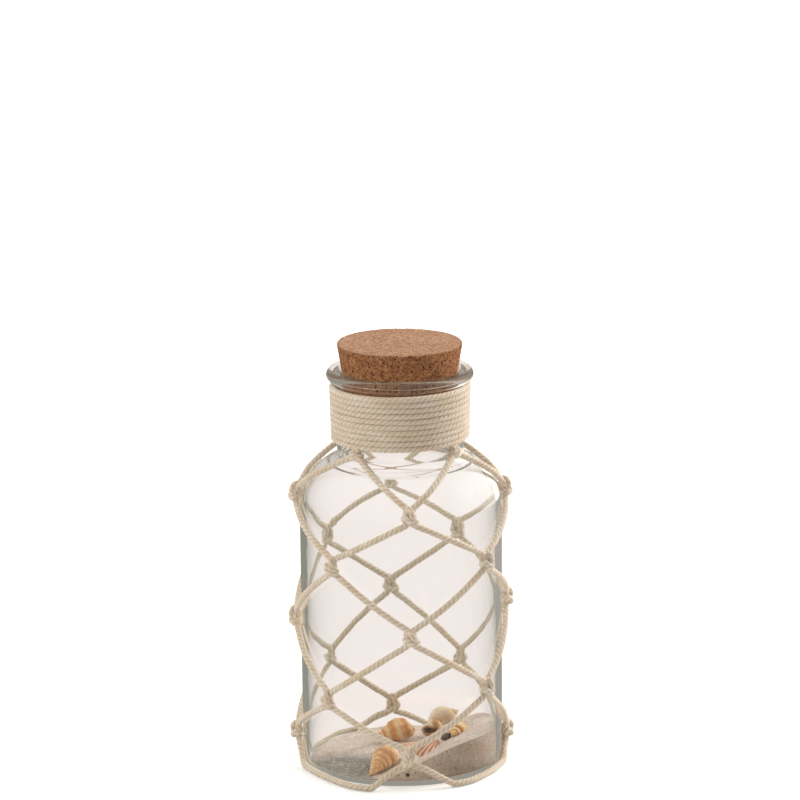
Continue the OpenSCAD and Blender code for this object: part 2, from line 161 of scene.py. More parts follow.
def new_material(name):
    """A material with its Principled shader, ready for its nodes."""
    material = bpy.data.materials.new(name)
    material.use_nodes = True
    return material, material.node_tree, material.node_tree.nodes["Principled BSDF"]


def per_mm(millimetres):
    """The scale at which a pattern on coordinates in metres repeats every so many millimetres."""
    return 1 / (millimetres * MM)


# %% [markdown]
# ## Studio
# A product picture like this is taken on a pale table before a white backdrop, with the rest of the room
# left darker. Rays that leave the camera, or pass straight through the glass, meet the white. Rays that a
# surface has thrown aside meet the room, and that is what draws the grey edges of clear glass. Light Path
# tells these rays apart, by what they have met on their way, and the same test serves the world and the table.


# %% Kinds of rays
def ray_kinds(tree):
    """Three shares, 0 or 1: rays from the camera, rays straight through clear glass, rays thrown aside."""
    path = add(tree, "ShaderNodeLightPath")
    early = add(tree, "ShaderNodeMath", {0: path.outputs["Diffuse Depth"], 1: 0.5}, operation="LESS_THAN")
    thrown = add(tree, "ShaderNodeMath", {0: path.outputs["Glossy Depth"], 1: 0.5}, operation="GREATER_THAN")
    aside = add(tree, "ShaderNodeMath", {0: early.outputs[0], 1: thrown.outputs[0]}, operation="MULTIPLY")
    clear = add(tree, "ShaderNodeMath", {0: path.outputs["Is Transmission Ray"], 1: early.outputs[0]},
                operation="MULTIPLY")
    straight = add(tree, "ShaderNodeMath", {0: clear.outputs[0], 1: thrown.outputs[0]}, operation="SUBTRACT",
                   use_clamp=True)
    return path.outputs["Is Camera Ray"], straight.outputs[0], aside.outputs[0]


# %% World
THROUGH_GLASS = "#FEF5F2"
WINDOW = Vector((0.93, 0.33, 0.14)).normalized()
world = bpy.data.worlds.new("studio")
bpy.context.scene.world = world
world.use_nodes = True
wt = world.node_tree
wt.nodes.clear()
from_camera, straight, aside = ray_kinds(wt)
direction = add(wt, "ShaderNodeTexCoord")
height = add(wt, "ShaderNodeSeparateXYZ", {0: direction.outputs["Generated"]})
upward = add(wt, "ShaderNodeMapRange", {0: height.outputs["Z"], 1: -0.2, 2: 0.9})
room = ramp(wt, upward.outputs[0], [(0.0, "#B4B1AA"), (0.35, "#C0BDB7"), (1.0, "#E8E6E2")])
towards = add(wt, "ShaderNodeVectorMath", {0: direction.outputs["Generated"], 1: WINDOW}, operation="DOT_PRODUCT")
window = add(wt, "ShaderNodeMapRange", {0: towards.outputs["Value"], 1: 0.55, 2: 1.0, 3: 1.0, 4: 2.8},
             interpolation_type="SMOOTHSTEP")
ambient = add(wt, "ShaderNodeBackground", {"Color": colour("#FFFCF8"), "Strength": 0.5})
reflected = add(wt, "ShaderNodeBackground", {"Color": room, "Strength": window.outputs[0]})
through = add(wt, "ShaderNodeBackground", {"Color": colour(THROUGH_GLASS), "Strength": 1.0})
white = add(wt, "ShaderNodeBackground", {"Color": (1, 1, 1, 1), "Strength": 1.0})
mixed = add(wt, "ShaderNodeMixShader", {0: aside, 1: ambient.outputs[0], 2: reflected.outputs[0]})
mixed = add(wt, "ShaderNodeMixShader", {0: straight, 1: mixed.outputs[0], 2: through.outputs[0]})
mixed = add(wt, "ShaderNodeMixShader", {0: from_camera, 1: mixed.outputs[0], 2: white.outputs[0]})
add(wt, "ShaderNodeOutputWorld", {0: mixed.outputs[0]})


# %% Soft boxes
def soft_box(name, place, size, watts, tint):
    lamp = bpy.data.lights.new(name, "AREA")
    lamp.shape = "RECTANGLE"
    lamp.size, lamp.size_y = size
    lamp.energy = watts
    lamp.color = colour(tint)[:3]
    box = bpy.data.objects.new(name, lamp)
    box.matrix_world = (
        Matrix.Translation(place)
        @ (Vector((0, 0, 0.1)) - Vector(place)).to_track_quat("-Z", "Y").to_matrix().to_4x4()
    )
    bpy.context.scene.collection.objects.link(box)
    box.visible_camera = box.visible_glossy = box.visible_transmission = False


soft_box("key_right", (1.2, 0.6, 0.8), (0.8, 1.2), 25, "#FFFBF9")
soft_box("fill_left", (-1.25, -0.35, 0.7), (0.7, 1.2), 10, "#FFFDFA")
soft_box("top", (0.1, 0.3, 1.6), (1.0, 1.0), 8, "#FFFFFF")

# %% [markdown]
# The table is a matt white board. Seen by the camera it also glows a little, more so far away, so that it
# melts into the backdrop and only the bottle's own shadow shows on it. Straight through the glass it is as
# white as the backdrop. In reflections it is a mid grey that is lighter on the right, like the room.

# %% Table
FLOOR_HALF = 8.0
table_mesh = bpy.data.meshes.new("table")
corners = [(-1, -1), (1, -1), (1, 1), (-1, 1)]
table_mesh.from_pydata([(x * FLOOR_HALF, y * FLOOR_HALF, -0.05 * MM) for x, y in corners], [], [(0, 1, 2, 3)])
table = bpy.data.objects.new("table", table_mesh)
bpy.context.scene.collection.objects.link(table)
board, tree, shader = new_material("white_laminate")
shader.inputs["Base Color"].default_value = colour("#E6E5E3")
shader.inputs["Roughness"].default_value = 0.9
from_camera, straight, aside = ray_kinds(tree)
place = add(tree, "ShaderNodeTexCoord").outputs["Object"]
distance = add(tree, "ShaderNodeVectorMath", {0: place}, operation="LENGTH")
far = add(tree, "ShaderNodeMapRange", {0: distance.outputs["Value"], 1: 0.25, 2: 1.2, 3: 0.3, 4: 0.75})
glow = add(tree, "ShaderNodeMath", {0: from_camera, 1: far.outputs[0]}, operation="MULTIPLY")
shader.inputs["Emission Color"].default_value = (1, 1, 1, 1)
tree.links.new(glow.outputs[0], shader.inputs["Emission Strength"])
side = add(tree, "ShaderNodeSeparateXYZ", {0: place})
across = add(tree, "ShaderNodeMapRange", {0: side.outputs["X"], 1: -0.6, 2: 0.6})
grey = ramp(tree, across.outputs[0], [(0.0, "#8B8A80"), (0.5, "#98958C"), (1.0, "#AAA6A0")])
reflected = add(tree, "ShaderNodeEmission", {"Color": grey, "Strength": 1.0})
through = add(tree, "ShaderNodeEmission", {"Color": colour(THROUGH_GLASS), "Strength": 1.03})
mixed = add(tree, "ShaderNodeMixShader", {0: aside, 1: shader.outputs[0], 2: reflected.outputs[0]})
mixed = add(tree, "ShaderNodeMixShader", {0: straight, 1: mixed.outputs[0], 2: through.outputs[0]})
tree.links.new(mixed.outputs[0], tree.nodes["Material Output"].inputs["Surface"])
table_mesh.materials.append(board)


# %% [markdown]
# ## Tools for shapes
# Every piece is a mesh made from rings of points: a cord is rings along a route, turned glass is rings round
# an axis, a shell is rings along a spiral. One function joins the rings with four-sided faces, and one turns
# points and faces into a named piece that moves with its body.


# %% Mesh helpers
def ring_faces(rings, sides, closed=False):
    """Quads between neighbouring rings of sides points; closed joins the last ring to the first."""
    i, j = np.meshgrid(np.arange(rings if closed else rings - 1), np.arange(sides), indexing="ij")
    here, after = i * sides, (i + 1) % rings * sides
    k = (j + 1) % sides
    return np.stack([here + j, here + k, after + k, after + j], -1).reshape(-1, 4).tolist()


def fan(centre, first, sides, flip=False):
    """Triangles from a centre point to the ring that starts at first."""
    faces = [(centre, first + (j + 1) % sides, first + j) for j in range(sides)]
    return [f[::-1] for f in faces] if flip else faces


def make_piece(name, points, faces, body, nodes, material, attributes=None):
    """Turns points in millimetres into a smooth mesh that rides on body and stands for the CAD nodes."""
    mesh = bpy.data.meshes.new(name)
    mesh.from_pydata((np.asarray(points) * MM).tolist(), [], faces)
    mesh.update()
    mesh.shade_smooth()
    for key, values in (attributes or {}).items():
        values = np.asarray(values, np.float32)
        kind = "FLOAT_VECTOR" if values.ndim == 2 else "FLOAT"
        field = "vector" if values.ndim == 2 else "value"
        mesh.attributes.new(key, kind, "POINT").data.foreach_set(field, values.ravel())
    mesh.materials.append(material)
    piece = bpy.data.objects.new(name, mesh)
    bpy.context.scene.collection.objects.link(piece)
    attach(piece, body)
    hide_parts(*nodes)
    print(f"{name}: {len(mesh.vertices)} points, {len(mesh.polygons)} faces")
    return piece


def ripple(x, seed):
    """A smooth random-looking wave between about -1 and 1, the same on every run."""
    phases = np.array([1.7, 4.1, 2.3]) * (seed + 1)
    return sum(np.sin(x * rate + phase) for rate, phase in zip((1.0, 2.33, 5.17), phases)) / 2.2


# %% [markdown]
# ## Where the cords run
# The net is tied from four cords. Each hangs from a hitch under the neck, runs down the bottle in zigzag from
# knot to knot, lies on the table as a slack loop and climbs back up on its other side. The places below
# repeat the construction's: compass angles of the knots, counted from the front to the right, their heights,
# and the distance at which a cord lies on the glass.

# %% Sizes of the cords and places of the knots
CORD_R = 1.65
CORD_LIFT = 1.7
WRAP_CORD_R = 1.56
WRAP_TURNS = 10
WRAP_PITCH = 2.82
WRAP_TOP_H = LIP_FOOT_H - 1.5
WRAP_LOW_H = WRAP_TOP_H - WRAP_TURNS * WRAP_PITCH
HITCH_H = WRAP_LOW_H - 3.4
HITCH_R = NECK_R + 2.2
COLUMN_ANGLE = [5, 53, 97, 146, 186, 224, 272, 320]
TOP_ROW_H = SHOULDER_H + 6.5
LOW_ROW_H = 16.5
ROW_H = [HITCH_H] + [TOP_ROW_H + (LOW_ROW_H - TOP_ROW_H) * i / 4 for i in range(5)]
KNOT_OFFSET = [
    [0, 0, 0, 0],
    [0, 0.5, -4.5, 0.5],
    [3, 0.5, 0, 3],
    [0, 5, 0, -2],
    [-1, -4, -2, -4.5],
    [0.3, -2, -2, 0],
]
KNOT_TURN = {(0, 1): -1, (2, 3): -1.5, (2, 5): 5, (4, 3): -3, (4, 5): 3, (4, 7): -4, (5, 0): -2, (5, 2): -2}
KNOT_REACH = 3.6
PAIR_PITCH = 3.0
HITCH_PITCH = 2.0
LOOP_ANGLE = [29.5, 162.5, 209.5, 342.5]
LOOP_REACH = 58.6
SHORT_REACH = LOOP_REACH - 2.6
HEEL_HUG_R = BASE_R + 1.1
LOOP_LIFT = 14
KNOT_BULGE = 1.0


def at(angle, r, z):
    """A point at a compass angle, a distance from the axis and a height."""
    a = math.radians(angle)
    return np.array([r * math.sin(a), -r * math.cos(a), z])


def mix(a, b, t):
    return a + (b - a) * t


def ease(t):
    u = np.clip(t, 0, 1)
    return u * u * (3 - 2 * u)


# %% The surface that the cords lie on
cord_round_r = SHOULDER_R + CORD_LIFT
to_hitch = np.array([HITCH_R - SHOULDER_X, HITCH_H - SHOULDER_H])
leave_angle = math.atan2(to_hitch[1], to_hitch[0]) - math.acos(cord_round_r / np.linalg.norm(to_hitch))
leave_r = SHOULDER_X + cord_round_r * math.cos(leave_angle)
leave_h = SHOULDER_H + cord_round_r * math.sin(leave_angle)


def wall_radius(z):
    return mix(BASE_R, BODY_R, (z - HEEL_R) / (SHOULDER_H - HEEL_R))


def skin(z):
    """Distance from the axis to the middle of a cord at height z: on the wall, the shoulder or in the air."""
    if z <= SHOULDER_H:
        return wall_radius(z) + CORD_LIFT
    if z <= leave_h:
        return SHOULDER_X + math.sqrt(cord_round_r**2 - (z - SHOULDER_H) ** 2)
    return mix(leave_r, HITCH_R, (z - leave_h) / (HITCH_H - leave_h))


def lean(z):
    """How far the glass leans back at height z, in radians."""
    return 0.0 if z <= SHOULDER_H else math.asin((z - SHOULDER_H) / cord_round_r)


def column(c):
    return COLUMN_ANGLE[c % 8] + 360 * (c // 8)


def knot_angle(row, c):
    return column(c) + KNOT_TURN.get((row, c % 8), 0)


def knot_h(row, c):
    return ROW_H[row] + KNOT_OFFSET[row][c % 8 // 2]


def span(length, z):
    return math.degrees(length / skin(z))


# %% Routes of the net cords
def in_knot(row, c, side):
    z = knot_h(row, c)
    angle = knot_angle(row, c) + side * span(PAIR_PITCH / 2, z)
    return [at(angle, skin(z + dz) + bulge, z + dz)
            for dz, bulge in ((KNOT_REACH, 0.5 * KNOT_BULGE), (0, KNOT_BULGE), (-KNOT_REACH, 0.5 * KNOT_BULGE))]


def between(row, c_top, side_top, c_low, side_low, steps):
    z_top = knot_h(row, c_top) - (0 if row == 0 else KNOT_REACH)
    z_low = knot_h(row + 1, c_low) + KNOT_REACH
    a_top = knot_angle(row, c_top) + side_top * span(PAIR_PITCH / 2, z_top)
    a_low = knot_angle(row + 1, c_low) + side_low * span(PAIR_PITCH / 2, z_low)
    widen = skin(z_low) / skin(z_top)
    route = []
    for t in np.arange(1, steps) / steps:
        z = mix(z_top, z_low, t)
        route.append(at(mix(a_top, a_low, t * widen / (1 + (widen - 1) * t)), skin(z), z))
    return route


def hung_end(h, side):
    """A leg's end, tucked in under the lowest turn of the neck cord."""
    angle = knot_angle(0, h) + side * math.degrees(HITCH_PITCH / 2 / HITCH_R)
    return [at(angle, NECK_R + 1.5, WRAP_LOW_H + 0.4), at(angle, HITCH_R, WRAP_LOW_H - 1.6),
            at(angle, HITCH_R + 0.3, HITCH_H)]


def strand(h, c):
    s = 1 if c > h else -1
    return (
        hung_end(h, s)
        + between(0, h, s, c, -s, 6) + in_knot(1, c, -s)
        + between(1, c, -s, h, s, 5) + in_knot(2, h, s)
        + between(2, h, s, c, -s, 5) + in_knot(3, c, -s)
        + between(3, c, -s, h, s, 5) + in_knot(4, h, s)
        + between(4, h, s, c, -s, 5) + in_knot(5, c, -s)
    )


def table_loop(near, far, tip_angle, reach):
    s = 1 if far > near else -1
    z_near, z_far = knot_h(5, near) - KNOT_REACH, knot_h(5, far) - KNOT_REACH
    a_near = knot_angle(5, near) + s * span(PAIR_PITCH / 2, z_near)
    a_far = knot_angle(5, far) - s * span(PAIR_PITCH / 2, z_far)
    a_lift = a_far - s * LOOP_LIFT
    down = [at(mix(a_near, tip_angle, t), mix(skin(z_near), reach, t), mix(z_near, CORD_R, (t + ease(t)) / 2))
            for t in (0.35, 0.7)]
    tip = [at(tip_angle - s * 1.5, reach - 0.4, CORD_R), at(tip_angle + s * 2, reach - 0.3, CORD_R)]
    heel = [at(mix(tip_angle, a_lift, t), mix(reach, HEEL_HUG_R, ease(t * 1.5)), CORD_R)
            for t in (0.2, 0.45, 0.7, 1)]
    return down + tip + heel + [at(mix(a_lift, a_far, 0.6), HEEL_HUG_R, mix(CORD_R, z_far, 0.45))]


def net_route(k):
    h, s = 2 * k - 1, 1 if k % 2 == 1 else -1
    reach = SHORT_REACH if k % 2 == 1 else LOOP_REACH
    loop = table_loop(h - s, h + s, LOOP_ANGLE[k - 1], reach)
    return strand(h, h - s) + loop + strand(h, h + s)[::-1]


def wrap_route():
    """The neck cord, from the back round and up to the back."""
    steps = 24
    turn = [i / steps for i in range(WRAP_TURNS * steps + 1)]
    share = [t / WRAP_TURNS for t in turn]
    return [at(180 + 360 * t, mix(NECK_R, NECK_TOP_R, f) + WRAP_CORD_R,
               mix(WRAP_LOW_H, WRAP_TOP_H, f) + 0.2 * ripple(5.3 * t, 3) * math.sin(math.pi * f))
            for t, f in zip(turn, share)]


# %% [markdown]
# ## Twisted cord
# The cord is three-ply cotton, laid left-handed: three bundles of fibre that wind round each other once every
# ten millimetres. A round tube with a twisted picture on it would look smooth at its edges, so the plies are
# real shape here: the cross-section has three lobes, and it turns as it moves along the route. Each point
# also remembers where it sits along and across the cord, so that the fibres can follow it.

# %% Cord maker
LAY_LENGTH = 8.4
PLIES = 3
CORD_SIDES = 24
GROOVE_DEPTH = 0.12
RING_STEP = 0.54


def smooth_route(points, step=RING_STEP):
    """A smooth curve through the points, cut into equal steps."""
    p = np.array(points, float)
    p = np.vstack([2 * p[0] - p[1], p, 2 * p[-1] - p[-2]])
    t = np.linspace(0, 1, 16, endpoint=False)[:, None]
    parts = []
    for a, b, c, d in zip(p, p[1:], p[2:], p[3:]):
        parts.append(0.5 * (2 * b + (c - a) * t + (2 * a - 5 * b + 4 * c - d) * t**2
                            + (3 * b - a - 3 * c + d) * t**3))
    fine = np.vstack(parts + [p[-2:-1]])
    run = np.concatenate([[0], np.cumsum(np.linalg.norm(np.diff(fine, axis=0), axis=1))])
    marks = np.linspace(0, run[-1], max(8, round(run[-1] / step)) + 1)
    path = np.stack([np.interp(marks, run, fine[:, k]) for k in range(3)], 1)
    path[:, 2] = np.maximum(path[:, 2], CORD_R)
    return path, marks


def carried_frames(path):
    """Two directions square to the path at each point, carried along it without twist."""
    heading = np.gradient(path, axis=0)
    heading /= np.linalg.norm(heading, axis=1)[:, None]
    side = np.empty_like(path)
    last = np.cross(heading[0], (0.3, 0.2, 0.93))
    for i, d in enumerate(heading):
        last = last - (last @ d) * d
        last = last / np.linalg.norm(last)
        side[i] = last
    return side, np.cross(heading, side)


def twisted_cord(points, radius, seed, lay=LAY_LENGTH):
    """Rings of a three-ply cord along a route: its points, faces, and place of each point in the cord."""
    path, run = smooth_route(points)
    side, other = carried_frames(path)
    theta = np.arange(CORD_SIDES) * 2 * np.pi / CORD_SIDES
    lobe = np.abs(np.cos(PLIES / 2 * theta)) ** 0.7
    swell = 1 + 0.045 * ripple(run[:, None] / 2.1 + theta[None, :] * 0.6, seed)
    r = radius * (1 - GROOVE_DEPTH + GROOVE_DEPTH * lobe)[None, :] * swell
    turn = theta[None, :] - 2 * np.pi * (run / lay)[:, None] + seed
    x, y = r * np.cos(turn), r * np.sin(turn)
    rings = path[:, None, :] + x[..., None] * side[:, None, :] + y[..., None] * other[:, None, :]
    n = len(path)
    points = np.vstack([rings.reshape(-1, 3), path[:1], path[-1:]])
    faces = ring_faces(n, CORD_SIDES)
    faces += fan(n * CORD_SIDES, 0, CORD_SIDES, flip=False)
    faces += fan(n * CORD_SIDES + 1, (n - 1) * CORD_SIDES, CORD_SIDES, flip=True)
    yarn = np.stack([np.broadcast_to(run[:, None], x.shape), x, y], -1).reshape(-1, 3)
    yarn = np.vstack([yarn, [[run[0], 0, 0], [run[-1], 0, 0]]])
    groove = np.concatenate([np.tile(lobe, n), [0, 0]])
    return points, faces, yarn, groove


def join_cords(cords):
    """Several cords as one mesh."""
    points, faces, yarn, groove, first = [], [], [], [], 0
    for p, f, y, g in cords:
        points.append(p)
        faces += [tuple(i + first for i in face) for face in f]
        yarn.append(y)
        groove.append(g)
        first += len(p)
    return np.vstack(points), faces, {"yarn": np.vstack(yarn), "groove": np.concatenate(groove)}


# %% [markdown]
# ## Cotton
# Undyed cotton is a warm beige. Its fibres are a hundredth of a millimetre thick, far too fine to show, so
# they are drawn as soft streaks a quarter of a millimetre wide that run along the cord. In the grooves between
# the plies the colour is darker, partly for dust and partly as painted shade, and a matt sheen at grazing
# angles stands for the fuzz.

# %% Cotton material
FIBRE_W = 0.3
FIBRE_L = 3.0
STAIN_L = 18.0


def cotton():
    material, tree, shader = new_material("twisted_cotton")
    place = add(tree, "ShaderNodeAttribute", attribute_name="yarn")
    groove = add(tree, "ShaderNodeAttribute", attribute_name="groove")
    stretch = add(tree, "ShaderNodeVectorMath", {0: place.outputs["Vector"], 1: (1 / FIBRE_L, 1 / FIBRE_W, 1 / FIBRE_W)},
                  operation="MULTIPLY")
    fibre = add(tree, "ShaderNodeTexNoise", {"Vector": stretch.outputs[0], "Scale": 1.0, "Detail": 3.0})
    along = add(tree, "ShaderNodeVectorMath", {0: place.outputs["Vector"], 1: (1 / STAIN_L, 0.1, 0.1)},
                operation="MULTIPLY")
    stain = add(tree, "ShaderNodeTexNoise", {"Vector": along.outputs[0], "Scale": 1.0, "Detail": 2.0})
    streaks = ramp(tree, fibre.outputs["Fac"], [(0.25, "#C8BBA8"), (0.5, "#D8CCBB"), (0.8, "#E8E1D6")])
    patches = ramp(tree, stain.outputs["Fac"], [(0.35, "#F8F0E6"), (0.65, "#FFFFFF")])
    # Painted shade: the colour darkens towards the grooves between the plies, partly dust and partly shade.
    shade = ramp(tree, groove.outputs["Fac"], [(0.0, "#D4C9BC"), (0.45, "#F3EFE9"), (1.0, "#FFFFFF")])
    tinted = add(tree, "ShaderNodeMix", {0: 1.0, 6: streaks, 7: patches}, data_type="RGBA", blend_type="MULTIPLY")
    shaded = add(tree, "ShaderNodeMix", {0: 1.0, 6: tinted.outputs[2], 7: shade}, data_type="RGBA",
                 blend_type="MULTIPLY")
    tree.links.new(shaded.outputs[2], shader.inputs["Base Color"])
    bump = add(tree, "ShaderNodeBump", {"Height": fibre.outputs["Fac"], "Distance": 0.12 * MM, "Strength": 0.6})
    tree.links.new(bump.outputs[0], shader.inputs["Normal"])
    shader.inputs["Roughness"].default_value = 0.88
    shader.inputs["Specular IOR Level"].default_value = 0.25
    shader.inputs["Sheen Weight"].default_value = 0.4
    shader.inputs["Sheen Roughness"].default_value = 0.5
    return material


COTTON = cotton()

# %% [markdown]
# ## Neck cord and net cords
# The neck cord lies in ten close turns. The four net cords are each one unbroken tube along their routes.

# %% Neck cord and net cords
points, faces, attributes = join_cords([twisted_cord(wrap_route(), WRAP_CORD_R, seed=1)])
make_piece("neck_cord", points, faces, "bottle", ["neck_wrap"], COTTON, attributes)
for k in (1, 2, 3, 4):
    points, faces, attributes = join_cords([twisted_cord(net_route(k), CORD_R, seed=k + 1)])
    make_piece(f"net_cord_{k}_laid", points, faces, "bottle", [f"net_cord_{k}"], COTTON, attributes)

# %% [markdown]
# ## Knots
# Where two net cords meet they are tied together. Pulled tight, the knot shows a bight that comes over the
# top and down the front, and a turn that goes round both cords below it. Its strand is drawn once, in a small
# frame on the glass: to the right, up along the glass and away from it. Each copy is a little turned, and
# every second one is mirrored, as hand-tied knots are.

# %% Knot maker
KNOT_STRAND_R = 1.55
KNOT_PATH = [
    (-1.6, -2.6, 1.8), (-2.2, 0.2, 1.3), (-1.7, 2.6, 1.6), (-0.9, 4.0, 2.6), (0.1, 3.7, 4.0), (0.7, 1.9, 4.9),
    (1.0, -0.2, 4.7), (1.9, -2.0, 4.1), (2.9, -2.9, 2.8), (2.0, -2.9, 1.4), (-0.6, -2.3, 1.1), (-2.7, -1.4, 1.5),
    (-3.2, -0.5, 2.9), (-2.1, -0.7, 4.3), (-0.2, -2.3, 4.9), (1.9, -3.3, 3.9), (2.8, -3.0, 2.4), (2.0, -1.6, 1.6),
]


def on_glass(angle, r, z, tilt, local):
    """Points of a small frame that stands on the glass: right, up and away from it."""
    a = math.radians(angle)
    right = np.array([math.cos(a), math.sin(a), 0])
    level = np.array([math.sin(a), -math.cos(a), 0])
    out = level * math.cos(tilt) + np.array([0, 0, math.sin(tilt)])
    up = np.array([0, 0, math.cos(tilt)]) - level * math.sin(tilt)
    foot = level * r + np.array([0, 0, z])
    return [foot + x * right + y * up + h * out for x, y, h in local]


def turned(path, degrees, mirrored):
    a = math.radians(degrees)
    return [((-x if mirrored else x) * math.cos(a) - y * math.sin(a),
             (-x if mirrored else x) * math.sin(a) + y * math.cos(a), h) for x, y, h in path]


def knot(row, c):
    z = knot_h(row, c)
    index = row * 8 + c
    path = turned(KNOT_PATH, 9 * math.sin(index * 2.4), index % 3 == 1)
    foot_r = skin(z) - CORD_LIFT * math.cos(lean(z))
    foot_z = z - CORD_LIFT * math.sin(lean(z))
    return twisted_cord(on_glass(knot_angle(row, c), foot_r, foot_z, lean(z), path), KNOT_STRAND_R, seed=index)


for row in (1, 2, 3, 4, 5):
    points, faces, attributes = join_cords([knot(row, 2 * i + (row + 1) % 2) for i in range(4)])
    make_piece(f"knot_strands_{row}", points, faces, "bottle", [f"knots_row_{row}"], COTTON, attributes)

# %% [markdown]
# ## Hitches
# Under the neck cord the two legs of each net cord are gathered by a turn of the same cord, which keeps them
# from sliding along the neck.

# %% Hitches
HITCH_TURNS = 2.1
HITCH_HALF_W = 2.9
HITCH_W = 3.4
HITCH_DEPTH = 1.9
HITCH_STRAND_R = 1.45


def hitch(c):
    side = -1 if c % 4 == 3 else 1
    local = []
    for t in np.linspace(0, 1, 28):
        a = 2 * math.pi * (HITCH_TURNS * t - 0.3)
        local.append((side * HITCH_HALF_W * math.cos(a), HITCH_W * (0.4 - t), 2.3 + HITCH_DEPTH * math.sin(a)))
    return twisted_cord(on_glass(knot_angle(0, c), NECK_R, HITCH_H + 0.4, 0, local), HITCH_STRAND_R,
                        seed=c)


points, faces, attributes = join_cords([hitch(c) for c in (1, 3, 5, 7)])
make_piece("hitch_strands", points, faces, "bottle", ["neck_hitches"], COTTON, attributes)

# %% [markdown]
# ## Glass bottle
# The bottle is blown into a mould, so it is a body of revolution with soft corners everywhere. It is turned
# here from half an outline made of straight lines and arcs, outside and inside, so that light really passes
# through two surfaces of each wall.


# %% Outline of the glass
def arc(x, z, r, start, end, steps=8):
    """Points on an arc round (x, z), angles in degrees from the +X direction."""
    angles = np.radians(np.linspace(start, end, steps + 1))
    return [(x + r * math.cos(a), z + r * math.sin(a)) for a in angles]


def blend_centre(round_r, blend_r, wall_r):
    x = wall_r + blend_r
    return x, SHOULDER_H + math.sqrt((round_r + blend_r) ** 2 - (x - SHOULDER_X) ** 2)


def glass_outline():
    """Half outline from the middle of the base, up the outside, down the inside to the middle of the floor."""
    rim_r = BASE_R - HEEL_R - FOOT_W
    dome_r = (rim_r**2 + PUSH_UP_H**2) / (2 * PUSH_UP_H)
    dome = [(r, math.sqrt(dome_r**2 - r**2) - dome_r + PUSH_UP_H) for r in np.linspace(0, rim_r, 12)]
    heel = arc(BASE_R - HEEL_R, HEEL_R, HEEL_R, -90, 0, 10)
    bx, bz = blend_centre(SHOULDER_R, NECK_BLEND_R, NECK_R)
    touch = math.degrees(math.atan2(bz - SHOULDER_H, bx - SHOULDER_X))
    shoulder = arc(SHOULDER_X, SHOULDER_H, SHOULDER_R, 0, touch, 24)
    throat = arc(bx, bz, NECK_BLEND_R, touch + 180, 180, 8)
    crease_r = 0.7
    crease = arc(NECK_TOP_R + crease_r, LIP_FOOT_H - crease_r, crease_r, 180, 90, 5)
    lip_x = LIP_R - LIP_EDGE_R
    lip = arc(lip_x, LIP_FOOT_H + LIP_EDGE_R, LIP_EDGE_R, -90, 0, 10)
    lip += arc(lip_x, BOTTLE_H - LIP_EDGE_R, LIP_EDGE_R, 0, 90, 10)
    mouth = arc(MOUTH_R + MOUTH_EDGE_R, BOTTLE_H - MOUTH_EDGE_R, MOUTH_EDGE_R, 90, 180, 8)
    inner_r, inner_blend_r = SHOULDER_R - WALL_T, INNER_BLEND_R
    ix, iz = blend_centre(inner_r, inner_blend_r, MOUTH_R)
    inner_touch = math.degrees(math.atan2(iz - SHOULDER_H, ix - SHOULDER_X))
    inner_throat = arc(ix, iz, inner_blend_r, 180, inner_touch + 180, 10)
    inner_shoulder = arc(SHOULDER_X, SHOULDER_H, inner_r, inner_touch, 0, 24)
    inner_heel = arc(INNER_BASE_R - INNER_HEEL_R, FLOOR_T + INNER_HEEL_R, INNER_HEEL_R, 0, -90, 10)
    floor = [(r, FLOOR_T) for r in np.linspace(INNER_BASE_R - INNER_HEEL_R, 0, 8)[1:]]
    return dome + heel + shoulder + throat + crease + lip + mouth + inner_throat + inner_shoulder + inner_heel + floor


def with_steps(outline, longest):
    """The outline with extra points, so that no step is longer than longest."""
    full = [outline[0]]
    for a, b in zip(outline, outline[1:]):
        n = max(1, math.ceil(math.dist(a, b) / longest))
        full += [(mix(a[0], b[0], i / n), mix(a[1], b[1], i / n)) for i in range(1, n + 1)]
    return full


def turned_piece(outline, segments):
    """Points and faces of a solid of revolution whose outline starts and ends on the axis."""
    rings = outline[1:-1]
    angles = np.arange(segments) * 2 * np.pi / segments
    points = [(r * math.cos(a), r * math.sin(a), z) for r, z in rings for a in angles]
    points += [(0, 0, outline[0][1]), (0, 0, outline[-1][1])]
    faces = ring_faces(len(rings), segments)
    first, last = len(rings) * segments, len(rings) * segments + 1
    faces += fan(first, 0, segments)
    faces += fan(last, (len(rings) - 1) * segments, segments, flip=True)
    return np.array(points), faces


# %% [markdown]
# ## Soda-lime glass
# Ordinary bottle glass is soda-lime glass with an index of refraction of 1.52. Traces of iron make it absorb
# a little red, which only shows where light travels far inside it: in the rim, the heel and the base. So the
# surface is colourless, and the tint is an absorption in the volume. Rays from lamps, and light that spreads
# from matt surfaces, pass it unbent, so that the sand inside is lit without the noise of focused light.

# %% Glass material
GLASS_IOR = 1.52


